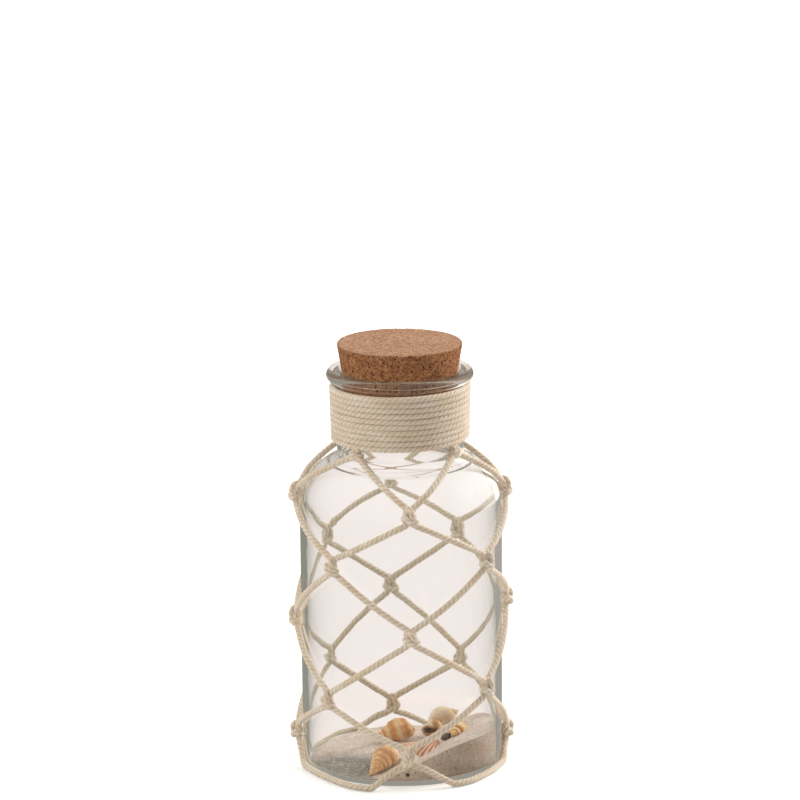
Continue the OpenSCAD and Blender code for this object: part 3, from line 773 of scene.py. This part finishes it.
def soda_lime_glass():
    material, tree, shader = new_material("soda_lime_glass")
    shader.inputs["Base Color"].default_value = (1, 1, 1, 1)
    shader.inputs["Roughness"].default_value = 0.0
    shader.inputs["IOR"].default_value = GLASS_IOR
    shader.inputs["Transmission Weight"].default_value = 1.0
    wave = add(tree, "ShaderNodeTexNoise", {"Scale": per_mm(14), "Detail": 1.0})
    place = add(tree, "ShaderNodeTexCoord")
    tree.links.new(place.outputs["Object"], wave.inputs["Vector"])
    bump = add(tree, "ShaderNodeBump", {"Height": wave.outputs["Fac"], "Distance": 0.3 * MM, "Strength": 0.3})
    tree.links.new(bump.outputs[0], shader.inputs["Normal"])
    absorb = add(tree, "ShaderNodeVolumeAbsorption", {"Color": (0.70, 0.79, 0.64, 1), "Density": 13.0})
    tree.links.new(absorb.outputs[0], tree.nodes["Material Output"].inputs["Volume"])
    path = add(tree, "ShaderNodeLightPath")
    clear = add(tree, "ShaderNodeBsdfTransparent")
    surface = shader.outputs[0]
    for kind in ("Is Reflection Ray", "Is Shadow Ray"):
        surface = add(tree, "ShaderNodeMixShader", {0: path.outputs[kind], 1: surface, 2: clear.outputs[0]}).outputs[0]
    tree.links.new(surface, tree.nodes["Material Output"].inputs["Surface"])
    return material


GLASS = soda_lime_glass()
points, faces = turned_piece(with_steps(glass_outline(), 4.0), 256)
make_piece("blown_glass", points, faces, "bottle", ["glass_bottle"], GLASS)

# %% [markdown]
# ## Cork
# The stopper is pressed cork: granules of one to three millimetres, glued, turned to a taper and sanded. The
# granules differ in tone, and bits of bark show as dark specks. Small pits where granules broke out are real
# dents in the mesh.

# %% Cork shape
CORK_BEVEL = 0.6
cork_low_r = CORK_TOP_R - (CORK_TOP_H - CORK_LOW_H) * math.tan(CORK_TAPER)


def pitted(points, centre_z):
    """Dents the points towards the axis where granules broke out."""
    dented = points.copy()
    for i, p in enumerate(points):
        v = Vector(p)
        pit = max(0.0, noise.noise(v * 0.9) - 0.28) * 1.6 + max(0.0, noise.noise(v * 0.45 + Vector((9, 3, 1))) - 0.35)
        inward = Vector((0, 0, centre_z)) - v
        dented[i] = v + inward.normalized() * min(0.7, pit)
    return dented


cork_outline = with_steps([
    (0, CORK_LOW_H), (cork_low_r - CORK_BEVEL, CORK_LOW_H), (cork_low_r, CORK_LOW_H + CORK_BEVEL),
    (CORK_TOP_R - 0.1, CORK_TOP_H - CORK_BEVEL), (CORK_TOP_R - CORK_BEVEL, CORK_TOP_H), (0, CORK_TOP_H)], 0.6)
points, faces = turned_piece(cork_outline, 288)
points = pitted(points, (CORK_LOW_H + CORK_TOP_H) / 2)


# %% Cork material
def pressed_cork():
    material, tree, shader = new_material("pressed_cork")
    place = add(tree, "ShaderNodeTexCoord").outputs["Object"]
    warp = add(tree, "ShaderNodeTexNoise", {"Vector": place, "Scale": per_mm(1.6), "Detail": 2.0})
    shift = add(tree, "ShaderNodeVectorMath", {0: warp.outputs["Color"], 1: (0.5, 0.5, 0.5)}, operation="SUBTRACT")
    bent = add(tree, "ShaderNodeVectorMath", {0: shift.outputs[0], 1: (1.2 * MM,) * 3, 2: place}, operation="MULTIPLY_ADD")
    granule = add(tree, "ShaderNodeTexVoronoi", {"Vector": bent.outputs[0], "Scale": per_mm(1.6)})
    fine = add(tree, "ShaderNodeTexVoronoi", {"Vector": bent.outputs[0], "Scale": per_mm(0.65)})
    tone = add(tree, "ShaderNodeSeparateColor", {0: granule.outputs["Color"]}).outputs[0]
    speck = add(tree, "ShaderNodeSeparateColor", {0: fine.outputs["Color"]}).outputs[1]
    # The side is coloured darker than the sanded top. Part of that is the top's paler sanded face, and part is painted
    # shade, since the light falls from above.
    turned = ramp(tree, tone, [(0.0, "#88593A"), (0.3, "#986846"), (0.65, "#A3724D"), (1.0, "#AE7F57")])
    bark = ramp(tree, speck, [(0.0, "#3A2A1E"), (0.09, "#6B4A32"), (0.16, "#DCCDBB"), (1.0, "#FFFFFF")])
    sanded = ramp(tree, tone, [(0.0, "#9A7358"), (0.35, "#A48167"), (0.7, "#AA896F"), (1.0, "#B4967B")])
    flecks = ramp(tree, speck, [(0.0, "#8A6048"), (0.07, "#C4A48C"), (0.14, "#F0E6DC"), (1.0, "#FFFFFF")])
    side = add(tree, "ShaderNodeMix", {0: 1.0, 6: turned, 7: bark}, data_type="RGBA", blend_type="MULTIPLY")
    face = add(tree, "ShaderNodeMix", {0: 1.0, 6: sanded, 7: flecks}, data_type="RGBA", blend_type="MULTIPLY")
    level = add(tree, "ShaderNodeSeparateXYZ", {0: place})
    top = add(tree, "ShaderNodeMapRange", {0: level.outputs["Z"], 1: (CORK_TOP_H - 0.7) * MM, 2: (CORK_TOP_H - 0.35) * MM})
    both = add(tree, "ShaderNodeMix", {0: top.outputs[0], 6: side.outputs[2], 7: face.outputs[2]}, data_type="RGBA")
    tree.links.new(both.outputs[2], shader.inputs["Base Color"])
    height = add(tree, "ShaderNodeMath", {0: granule.outputs["Distance"], 1: fine.outputs["Distance"]}, operation="ADD")
    bump = add(tree, "ShaderNodeBump", {"Height": height.outputs[0], "Distance": 0.25 * MM, "Strength": 0.4})
    tree.links.new(bump.outputs[0], shader.inputs["Normal"])
    shader.inputs["Roughness"].default_value = 0.85
    shader.inputs["Specular IOR Level"].default_value = 0.3
    return material


CORK = pressed_cork()
make_piece("cork_granules", points, faces, "stopper", ["cork_stopper"], CORK)

# %% [markdown]
# ## Sand
# Fine beach sand lies in a thin layer on the left and is heaped up on the right. Its surface follows the
# construction's, with small dunes and grains added as real relief. Sand has no colour of its own: pale quartz,
# a few dark grains and bits of shell make it up, and from a step away they blend to a pinkish beige.

# %% Sand shape
SAND_THIN_H = 2.6
SAND_LOW_H = 4.0
SAND_HIGH_H = 20.4
SAND_R = INNER_BASE_R - 0.1
SAND_CORNER_R = INNER_HEEL_R - 0.1
SAND_CORNER_H = FLOOR_T + INNER_HEEL_R


def sand_height(x, y):
    q = (x - 0.3 * y) / INNER_BASE_R
    layer = mix(SAND_THIN_H, SAND_LOW_H, ease((x + 38) / 38))
    return mix(layer, SAND_HIGH_H, ease((q + 0.04) / 1.04))


def sand_edge(angle):
    """Where the sand's surface meets the glass: on the wall, or on the round of the inner corner."""
    rim = at(angle, SAND_R, 0)
    rise = max(0.0, SAND_CORNER_H - sand_height(rim[0], rim[1]))
    return SAND_R - SAND_CORNER_R + math.sqrt(SAND_CORNER_R**2 - rise**2)


def sand_relief(x, y):
    dunes = 0.4 * noise.noise(Vector((x * 0.16, y * 0.16, 4.0))) + 0.18 * noise.noise(Vector((x * 0.5, y * 0.5, 1.0)))
    grains = 0.12 * noise.noise(Vector((x * 2.1, y * 2.1, 0.0)))
    return dunes + grains


def sand_slice(angle):
    """Points of one upright slice, from the bottom's middle over the corner and wall to the surface's middle."""
    edge = sand_edge(angle)
    flat_r = SAND_R - SAND_CORNER_R
    turn = math.degrees(math.asin(min(1, (edge - flat_r) / SAND_CORNER_R)))
    corner = [at(angle, r, z) for r, z in arc(flat_r, SAND_CORNER_H, SAND_CORNER_R, -90, turn - 90, CORNER_STEPS)]
    surface = []
    for f in [1, 0.994] + list(np.linspace(0.985, 0, 82)[:-1]):
        x, y, _ = at(angle, edge * f, 0)
        fade = min(1.0, (1 - f) * 14)
        z = sand_height(x, y) + sand_relief(x, y) * mix(0.35, 1, fade)
        surface.append((x, y, max(z, FLOOR_T + 0.15, corner[-1][2] + 0.05 if f == 1 else 0)))
    return corner + surface


SAND_SLICES = 420
CORNER_STEPS = 4
slices = [sand_slice(i * 360 / SAND_SLICES) for i in range(SAND_SLICES)]
rows = len(slices[0])
points = [p for s in slices for p in s] + [(0, 0, FLOOR_T), (0, 0, sand_height(0, 0))]
faces = []
for i in range(SAND_SLICES):
    a, b = i * rows, (i + 1) % SAND_SLICES * rows
    faces += [(a + j, b + j, b + j + 1, a + j + 1) for j in range(rows - 1)]
    faces += [(len(points) - 2, b, a), (len(points) - 1, a + rows - 1, b + rows - 1)]
# at_glass marks the points of the corner and wall against the glass, which the sand material colours darker as painted
# shade.
at_glass = np.append(np.tile(np.arange(rows) <= CORNER_STEPS + 1, SAND_SLICES), [True, False])
# underside marks the bottom of the sand, which the material makes glow as painted light.
underside = np.append(np.tile(np.arange(rows) == 0, SAND_SLICES), [True, False])


# %% Sand material
PATCH = (-30 * MM, -24 * MM, 3 * MM)
DARK_GRAIN = (2.4 * MM, -47.2 * MM, 6.2 * MM)
WALL_SHADE_CENTRE = (33 * MM, -34 * MM, 9 * MM)


def beach_sand():
    material, tree, shader = new_material("beach_sand")
    place = add(tree, "ShaderNodeTexCoord").outputs["Object"]
    grain = add(tree, "ShaderNodeTexVoronoi", {"Vector": place, "Scale": per_mm(0.6)})
    pick = add(tree, "ShaderNodeSeparateColor", {0: grain.outputs["Color"]})
    drift = add(tree, "ShaderNodeTexNoise", {"Vector": place, "Scale": per_mm(9), "Detail": 3.0})
    mineral = ramp(tree, pick.outputs[0], [(0.0, "#75695E"), (0.03, "#B6A598"), (0.1, "#CABBB0"), (0.75, "#D7CAC0"),
                                           (0.93, "#E1D8CF"), (1.0, "#F2EDE8")])
    tint = ramp(tree, drift.outputs["Fac"], [(0.35, "#F3EAE3"), (0.65, "#FFFFFF")])
    # A ragged patch on the front left, where the layer is thin, is coloured a darker grey with coarser grains.
    patch_grains = add(tree, "ShaderNodeTexVoronoi", {"Vector": place, "Scale": per_mm(0.8)})
    stone = add(tree, "ShaderNodeSeparateColor", {0: patch_grains.outputs["Color"]})
    coarse = ramp(tree, stone.outputs[0], [(0.0, "#676359"), (0.3, "#78736A"), (0.7, "#88827A"), (0.92, "#9C968C"),
                                           (1.0, "#C4BFB6")])
    away = add(tree, "ShaderNodeVectorMath", {0: place, 1: PATCH}, operation="DISTANCE")
    ragged = add(tree, "ShaderNodeMath", {0: drift.outputs["Fac"], 1: 16 * MM, 2: away.outputs["Value"]},
                 operation="MULTIPLY_ADD")
    patch = add(tree, "ShaderNodeMapRange", {0: ragged.outputs[0], 1: 25 * MM, 2: 39 * MM, 3: 0.95, 4: 0.0})
    dry = add(tree, "ShaderNodeMix", {0: 1.0, 6: mineral, 7: tint}, data_type="RGBA", blend_type="MULTIPLY")
    mixed = add(tree, "ShaderNodeMix", {0: patch.outputs[0], 6: dry.outputs[2], 7: coarse}, data_type="RGBA")
    # Painted shade: where the sand lies against the glass it is coloured darker, most of all on the front right, where
    # the heap's wall is in shade.
    pressed = add(tree, "ShaderNodeAttribute", attribute_name="at_glass")
    beside = add(tree, "ShaderNodeVectorMath", {0: place, 1: WALL_SHADE_CENTRE}, operation="DISTANCE")
    wall_shade_strength = add(tree, "ShaderNodeMapRange", {0: beside.outputs["Value"], 1: 9 * MM, 2: 22 * MM, 3: 1.0, 4: 0.5})
    wall_shade = add(tree, "ShaderNodeMath", {0: pressed.outputs["Fac"], 1: wall_shade_strength.outputs[0]}, operation="MULTIPLY")
    shade = ramp(tree, wall_shade.outputs[0], [(0.0, "#FFFFFF"), (0.5, "#EDE4DB"), (1.0, "#C6BCB0")])
    coloured = add(tree, "ShaderNodeMix", {0: 1.0, 6: mixed.outputs[2], 7: shade}, data_type="RGBA",
                   blend_type="MULTIPLY")
    near = add(tree, "ShaderNodeVectorMath", {0: place, 1: DARK_GRAIN}, operation="DISTANCE")
    coal = add(tree, "ShaderNodeMapRange", {0: near.outputs["Value"], 1: 0.85 * MM, 2: 1.05 * MM, 3: 1.0, 4: 0.0})
    coloured = add(tree, "ShaderNodeMix", {0: coal.outputs[0], 6: coloured.outputs[2], 7: colour("#1C1614")},
                   data_type="RGBA")
    tree.links.new(coloured.outputs[2], shader.inputs["Base Color"])
    bump = add(tree, "ShaderNodeBump", {"Height": grain.outputs["Distance"], "Distance": 0.3 * MM, "Strength": 0.5})
    tree.links.new(bump.outputs[0], shader.inputs["Normal"])
    # Painted light: the sand's underside glows a faint grey-green, in place of light that would reach it through the
    # glass base.
    below = add(tree, "ShaderNodeAttribute", attribute_name="underside")
    glow = add(tree, "ShaderNodeMath", {0: below.outputs["Fac"], 1: 0.22}, operation="MULTIPLY")
    shader.inputs["Emission Color"].default_value = colour("#C4C4B0")
    tree.links.new(glow.outputs[0], shader.inputs["Emission Strength"])
    shader.inputs["Roughness"].default_value = 0.9
    return material


SAND = beach_sand()
make_piece("sand_grains", points, faces, "bottle", ["sand_bed"], SAND,
           {"at_glass": at_glass, "underside": underside})

# %% [markdown]
# ## Coiled shells
# A snail builds its shell by adding to the mouth, always in the same proportion, so every whorl is a scaled
# copy of the one before. The maker below sweeps a growing ring along such a spiral. Ridges that follow the
# coil and ribs across it are waves on the ring's radius. The mouth is a real opening with a wall inside.


# %% Coiled shell maker
def coiled_shell(length, width, turns, ratio, ring_r, ring_h, cords, cord_depth, ribs, rib_depth):
    """A shell along +Z, its point at the origin. ratio is the size of a whorl against the next one."""
    steps, sides = int(turns * 96), 48
    angle = np.linspace(0, 2 * np.pi * turns, steps + 1)
    size = ratio ** ((angle[-1] - angle) / (2 * np.pi))
    phi = np.arange(sides) * 2 * np.pi / sides
    axis_r, mouth_z = width / 2 - ring_r, length - ring_h
    beads = rib_depth * np.cos(ribs * angle)[:, None] * (0.6 + 0.4 * np.cos(cords * phi))[None, :]
    wave = 1 + cord_depth * np.cos(cords * phi)[None, :] + beads
    radial = size[:, None] * (axis_r + ring_r * wave * np.cos(phi)[None, :])
    height = size[:, None] * (mouth_z + ring_h * wave * np.sin(phi)[None, :])
    rings = np.stack([radial * np.cos(angle)[:, None], radial * np.sin(angle)[:, None], height], -1)
    inside = []
    for back, shrink in ((0, 0.86), (16, 0.8), (32, 0.74)):
        r = rings[-1 - back]
        middle = r.mean(0)
        inside.append(middle + (r - middle) * shrink)
    rings = np.concatenate([rings, np.array(inside)])
    count = len(rings)
    points = np.vstack([rings.reshape(-1, 3), rings[0].mean(0)[None], rings[-1].mean(0)[None]])
    faces = [f[::-1] for f in ring_faces(count, sides)]
    faces += fan(count * sides, 0, sides, flip=True)
    faces += fan(count * sides + 1, (count - 1) * sides, sides, flip=False)
    turn = np.concatenate([angle, [angle[-1]] * 3])
    deep = np.concatenate([np.zeros(len(angle)), [0.5, 0.9, 1.0]])
    grown = np.stack(np.broadcast_arrays(turn[:, None], phi[None, :], deep[:, None]), -1).reshape(-1, 3)
    return points, faces, {"grown": np.vstack([grown, grown[:1], grown[-1:]])}


def stood(points, tip, end, roll=0):
    """Moves a shell so that its point is at tip and its axis runs towards end; roll turns it on its axis."""
    turn = (Vector(end) - Vector(tip)).to_track_quat("Z", "Y").to_matrix().to_4x4()
    a = np.array(Matrix.Translation(tip) @ turn @ Matrix.Rotation(math.radians(roll), 4, "Z"))
    return points @ a[:3, :3].T + a[:3, 3]


# %% Shell material
def shell_lime(name, stops, turnwise, ringwise, mouth, wobble=4.0):
    """Shell lime with stripes: so many radians of stripe for each radian of the coil and of the whorl's ring."""
    material, tree, shader = new_material(name)
    grown = add(tree, "ShaderNodeAttribute", attribute_name="grown")
    part = add(tree, "ShaderNodeSeparateXYZ", {0: grown.outputs["Vector"]})
    place = add(tree, "ShaderNodeTexCoord").outputs["Object"]
    blur = add(tree, "ShaderNodeTexNoise", {"Vector": place, "Scale": per_mm(2.2), "Detail": 3.0})
    a = add(tree, "ShaderNodeMath", {0: part.outputs[0], 1: turnwise}, operation="MULTIPLY")
    b = add(tree, "ShaderNodeMath", {0: part.outputs[1], 1: ringwise, 2: a.outputs[0]}, operation="MULTIPLY_ADD")
    c = add(tree, "ShaderNodeMath", {0: blur.outputs["Fac"], 1: wobble, 2: b.outputs[0]}, operation="MULTIPLY_ADD")
    wave = add(tree, "ShaderNodeMath", {0: c.outputs[0]}, operation="COSINE")
    level = add(tree, "ShaderNodeMapRange", {0: wave.outputs[0], 1: -1.0, 2: 1.0})
    stripes = ramp(tree, level.outputs[0], stops)
    # Deeper in the opening the colour turns to the mouth colour; where that is darker than the shell, it is painted
    # shade inside the opening.
    inner = add(tree, "ShaderNodeMix", {0: part.outputs[2], 6: stripes, 7: colour(mouth)}, data_type="RGBA")
    tree.links.new(inner.outputs[2], shader.inputs["Base Color"])
    fine = add(tree, "ShaderNodeTexNoise", {"Vector": place, "Scale": per_mm(0.5), "Detail": 2.0})
    bump = add(tree, "ShaderNodeBump", {"Height": fine.outputs["Fac"], "Distance": 0.1 * MM, "Strength": 0.4})
    tree.links.new(bump.outputs[0], shader.inputs["Normal"])
    shader.inputs["Roughness"].default_value = 0.5
    shader.inputs["Specular IOR Level"].default_value = 0.3
    return material


TURRET_LIME = shell_lime("banded_turret_lime", [(0.0, "#C08E60"), (0.45, "#DDB07C"), (1.0, "#F0D8B6")], 1.0, 2.0, "#8A5A30")
WHELK_LIME = shell_lime("striped_whelk_lime", [(0.0, "#C6854E"), (0.35, "#D29E68"), (1.0, "#DFBC92")], 0.5, 5.0, "#DCCBB4", 3.0)
CREAM_LIME = shell_lime("cream_snail_lime", [(0.0, "#D3B795"), (0.5, "#DEC8AC"), (1.0, "#E6D8C6")], 2.0, 0.0, "#A08560")
TAN_LIME = shell_lime("tan_snail_lime", [(0.0, "#A57B4E"), (0.5, "#CFA473"), (1.0, "#E0CDB8")], 1.0, 2.0, "#8A6850")
YELLOW_LIME = shell_lime("yellow_spiral_lime", [(0.0, "#CE812E"), (0.5, "#DFA04E"), (1.0, "#F2DDB6")], 0.0, 3.0, "#8A5A30", 2.0)

# %% Five coiled shells
SHELLS = [
    ("turret_whorls", "orange_shell", "turret_shell", TURRET_LIME,
     (30.0, 14.4, 9, 0.80, 3.8, 6.2, 14, 0.02, 22, 0.03), (-16.8, -43.0, 3.7), (-6.4, -19.5, 10.4), 0),
    ("whelk_whorls", "orange_shell", "whelk_shell", WHELK_LIME,
     (20.5, 13.8, 6, 0.72, 4.4, 6.4, 8, 0.02, 10, 0.03), (-14.0, 17.5, 6.9), (6.4, 22.5, 11.6), 215),
    ("cream_snail_whorls", "cream_shell", "cream_snail_shell", CREAM_LIME,
     (18.0, 15.6, 4, 0.42, 5.8, 6.6, 6, 0.008, 12, 0.01), (29.6, 30.0, 17.0), (14.0, 26.0, 10.0), 180),
    ("tan_snail_whorls", "tan_shell", "tan_snail_shell", TAN_LIME,
     (13.0, 11.6, 4, 0.45, 4.2, 5.0, 6, 0.01, 12, 0.015), (21.0, 14.0, 14.4), (9.0, 10.2, 13.0), -20),
    ("yellow_whorls", "yellow_shell", "yellow_spiral_shell", YELLOW_LIME,
     (12.0, 10.2, 5, 0.60, 3.1, 3.6, 6, 0.02, 12, 0.02), (24.9, -13.5, 16.4), (27.8, -4.0, 19.2), 200),
]
for name, slot, node, lime, shape, tip, end, roll in SHELLS:
    points, faces, grown = coiled_shell(*shape)
    make_piece(name, stood(points, tip, end, roll), faces, "bottle", [node], lime, grown)

# %% [markdown]
# ## Ribbed fan, chip and pebble
# The fan is half of a clam: a shallow bowl whose ribs spread from the hinge and end in a scalloped rim. The
# chip is a broken piece of another shell, and the pebble a water-worn stone.

# %% Ribbed fan
FAN_L, FAN_T = 19.5, 1.2
FAN_RIBS = 10
FAN_SPREAD = math.radians(44)
FAN_HINGE, FAN_RIM, FAN_UP = Vector((18.6, -10.6, 12.4)), Vector((4.2, -23.4, 7.8)), Vector((-0.35, -0.5, 0.8))


def fan_point(across, out, inner):
    """A point of the fan: across from -1 to 1 over its spread, out from 0 at the hinge to 1 at the rim."""
    a = across * FAN_SPREAD
    rib = math.cos(across * FAN_RIBS * math.pi)
    r = FAN_L * out * (1 + 0.02 * rib * out)
    dome = 3.6 * math.sin(math.pi * min(1, 0.08 + out * 0.86)) ** 0.8 * math.cos(across * 1.35)
    z = dome + 0.3 * rib * out - (FAN_T if inner else 0)
    return (r * math.sin(a), r * math.cos(a), max(z, -0.3))


def fan_shell():
    across, out = np.linspace(-1, 1, 161), np.linspace(0.05, 1, 34)
    rings = [[fan_point(u, v, False) for u in across] + [fan_point(u, v, True) for u in across[::-1]] for v in out]
    sides = len(rings[0])
    points = np.array([p for r in rings for p in r])
    faces = ring_faces(len(rings), sides)
    half = sides // 2
    for first, flip in ((0, True), ((len(rings) - 1) * sides, False)):
        cap = [(first + j, first + j + 1, first + sides - 2 - j, first + sides - 1 - j) for j in range(half - 1)]
        faces += [f[::-1] for f in cap] if flip else cap
    grown = np.array([[u, v, 0] for v in out for u in np.concatenate([across, across[::-1]])])
    return points, faces, {"grown": grown}


FAN_LIME = shell_lime("rust_ribbed_lime", [(0.0, "#985840"), (0.45, "#B47858"), (0.8, "#D0A686"), (1.0, "#DEC6AE")],
                      math.pi * FAN_RIBS, 1.0, "#8E4A34", 1.5)
points, faces, grown = fan_shell()
out_way = (FAN_RIM - FAN_HINGE).normalized()
side_way = out_way.cross(FAN_UP).normalized()
axes = np.array([side_way, out_way, side_way.cross(out_way)])
make_piece("fan_ribs", points @ axes + np.array(FAN_HINGE), faces, "bottle", ["ribbed_fan_shell"],
           FAN_LIME, grown)


# %% Chip and pebble
def lump(size, seed, detail=24):
    """A closed rough lump: a ball of rings, pressed to the three sizes and knocked about by noise."""
    rings = detail // 2
    points = []
    for i in range(1, rings):
        polar = math.pi * i / rings
        for j in range(detail):
            a = 2 * math.pi * j / detail
            p = Vector((math.sin(polar) * math.cos(a), math.sin(polar) * math.sin(a), math.cos(polar)))
            points.append(p * (1 + 0.18 * noise.noise(p * 1.7 + Vector((seed, 0, 0)))))
    points += [Vector((0, 0, 1)), Vector((0, 0, -1))]
    faces = ring_faces(rings - 1, detail)
    faces += fan(len(points) - 2, 0, detail)
    faces += fan(len(points) - 1, (rings - 2) * detail, detail, flip=True)
    scaled = np.array(points) * np.array(size) / 2
    grown = np.array([[p.x * 2, p.y * 2, 0] for p in points])
    return scaled, [f[::-1] for f in faces], {"grown": grown}


def tipped(points, place, degrees):
    """Tips a lump about the front-to-back direction and sets it down."""
    a = np.array(Matrix.Translation(place) @ Matrix.Rotation(math.radians(degrees), 4, "Y"))
    return points @ a[:3, :3].T + a[:3, 3]


CHIP_LIME = shell_lime("orange_chip_lime", [(0.0, "#AE5A28"), (0.5, "#CC8448"), (1.0, "#E4BC8C")], 2.0, 0.5, "#AE5A28")
points, faces, grown = lump((6.8, 4.2, 1.8), 5)
make_piece("orange_chip", tipped(points, (3.4, -41.4, 9.0), -14), faces, "bottle", ["shell_chip"],
           CHIP_LIME, grown)

PEBBLE = shell_lime("wet_basalt", [(0.0, "#2C201A"), (0.5, "#46342A"), (1.0, "#6A5444")], 1.0, 1.0, "#2A2420")
points, faces, grown = lump((5.4, 3.4, 3.4), 11)
make_piece("basalt_pebble", tipped(points, (21.8, -11.2, 15.2), -30), faces, "bottle", ["dark_pebble"],
           PEBBLE, grown)
